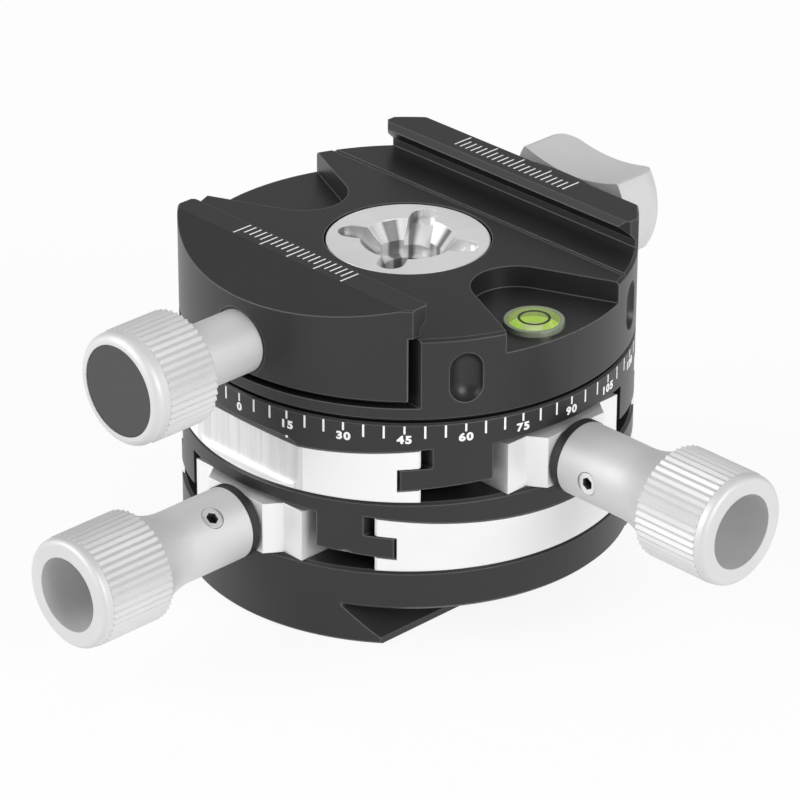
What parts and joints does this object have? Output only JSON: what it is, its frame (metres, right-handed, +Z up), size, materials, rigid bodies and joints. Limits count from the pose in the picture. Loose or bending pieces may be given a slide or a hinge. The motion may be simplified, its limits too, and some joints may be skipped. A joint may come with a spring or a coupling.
{
  "type": "panoramic tripod head",
  "caption": "Low levelling base with geared tilt stages under a panning quick-release clamp: curved cradles moved by worm knobs, a degree dial, a sliding jaw, a pan lock and a bubble level.",
  "frame": {"origin": "on the pan axis, at the bottom of the dovetail foot and the mouth of the tapped hole", "axes": "+Z up along the pan axis; +X towards the upper stage's knob, -Y towards the lower stage's knob and the clamp knob"},
  "size_m": [0.0895, 0.0982, 0.048],
  "materials": {
    "black_anodised": "satin black anodised, fine bead blast",
    "black_plastic": "matt",
    "silver_anodised": "satin clear anodised",
    "knob_silver": "bead-blasted clear anodised, bright flutes",
    "bright_aluminium": "fine turned",
    "steel": "ground",
    "brass": "machined",
    "friction_plastic": "smooth",
    "cap_grey": "satin",
    "level_cup": "satin",
    "level_liquid": "clear tinted",
    "level_lens": "clear"
  },
  "bodies": {
    "base": {"base_plate": "black_anodised", "lower_rail_left": "silver_anodised", "lower_rail_right": "silver_anodised", "lower_rail_screws": "steel", "lower_worm_housing": "silver_anodised", "lower_housing_screws": "steel", "lower_end_bearing": "brass"},
    "lower_drive": {"lower_worm": "steel", "lower_washer": "black_plastic", "lower_knob": "knob_silver", "lower_set_screw": "steel"},
    "middle": {"middle_plate": "black_anodised", "lower_rack": "brass", "lower_rack_screws": "steel", "upper_rail_front": "silver_anodised", "upper_rail_back": "silver_anodised", "upper_rail_screws": "steel", "upper_worm_housing": "silver_anodised", "upper_housing_screws": "steel", "upper_end_bearing": "brass"},
    "upper_drive": {"upper_worm": "steel", "upper_washer": "black_plastic", "upper_knob": "knob_silver", "upper_set_screw": "steel"},
    "dial": {"dial_body": "black_anodised", "upper_rack": "brass", "upper_rack_screws": "steel", "pan_hub": "steel", "hub_screws": "steel", "friction_ring": "friction_plastic", "centre_nut": "bright_aluminium"},
    "clamp": {"clamp_body": "black_anodised", "level_cup": "level_cup", "level_liquid": "level_liquid", "level_lens": "level_lens", "jaw_springs": "steel"},
    "jaw": {"sliding_jaw": "black_anodised", "guide_pins": "steel"},
    "clamp_drive": {"clamp_knob": "knob_silver", "clamp_screw": "steel", "knob_cap": "cap_grey"},
    "lock_lever": {"pan_lock_lever": "knob_silver", "pan_lock_screw": "steel"},
    "lock_shoe": {"pan_lock_shoe": "brass"}
  },
  "joints": [
    {"name": "lower_tilt", "type": "hinge", "parent": "base", "child": "middle", "pos_m": [0, 0, 0.207], "axis": [1, 0, 0], "range_deg": [-2.5, 2.5]},
    {"name": "lower_spin", "type": "hinge", "parent": "base", "child": "lower_drive", "pos_m": [0, 0, 0.0138], "axis": [0, -1, 0], "range_deg": [-1205, 1205]},
    {"name": "upper_tilt", "type": "hinge", "parent": "middle", "child": "dial", "pos_m": [0, 0, 0.217], "axis": [0, 1, 0], "range_deg": [-2.5, 2.5]},
    {"name": "upper_spin", "type": "hinge", "parent": "middle", "child": "upper_drive", "pos_m": [0, 0, 0.0238], "axis": [1, 0, 0], "range_deg": [-1205, 1205]},
    {"name": "pan", "type": "hinge", "parent": "dial", "child": "clamp", "pos_m": [0, 0, 0.0324], "axis": [0, 0, 1], "continuous": true},
    {"name": "jaw_slide", "type": "slide", "parent": "clamp", "child": "jaw", "axis": [0, -1, 0], "range_m": [-0.001, 0.007]},
    {"name": "clamp_spin", "type": "hinge", "parent": "jaw", "child": "clamp_drive", "pos_m": [0, 0, 0.0392], "axis": [0, -1, 0], "range_deg": [-455, 3155]},
    {"name": "lock_turn", "type": "hinge", "parent": "clamp", "child": "lock_lever", "pos_m": [0, 0, 0.0392], "axis": [0, -1, 0], "range_deg": [-31, 31]},
    {"name": "shoe_slide", "type": "slide", "parent": "clamp", "child": "lock_shoe", "axis": [0, -1, 0], "range_m": [-0.0000833, 0.0000833]}
  ],
  "couplings": [
    {"joint": "lower_spin", "follows": "lower_tilt", "ratio": 480.16},
    {"joint": "upper_spin", "follows": "upper_tilt", "ratio": 480.16},
    {"joint": "clamp_spin", "follows": "jaw_slide", "rad_per_m": 7854},
    {"joint": "lock_turn", "follows": "shoe_slide", "rad_per_m": 6283.2}
  ]
}
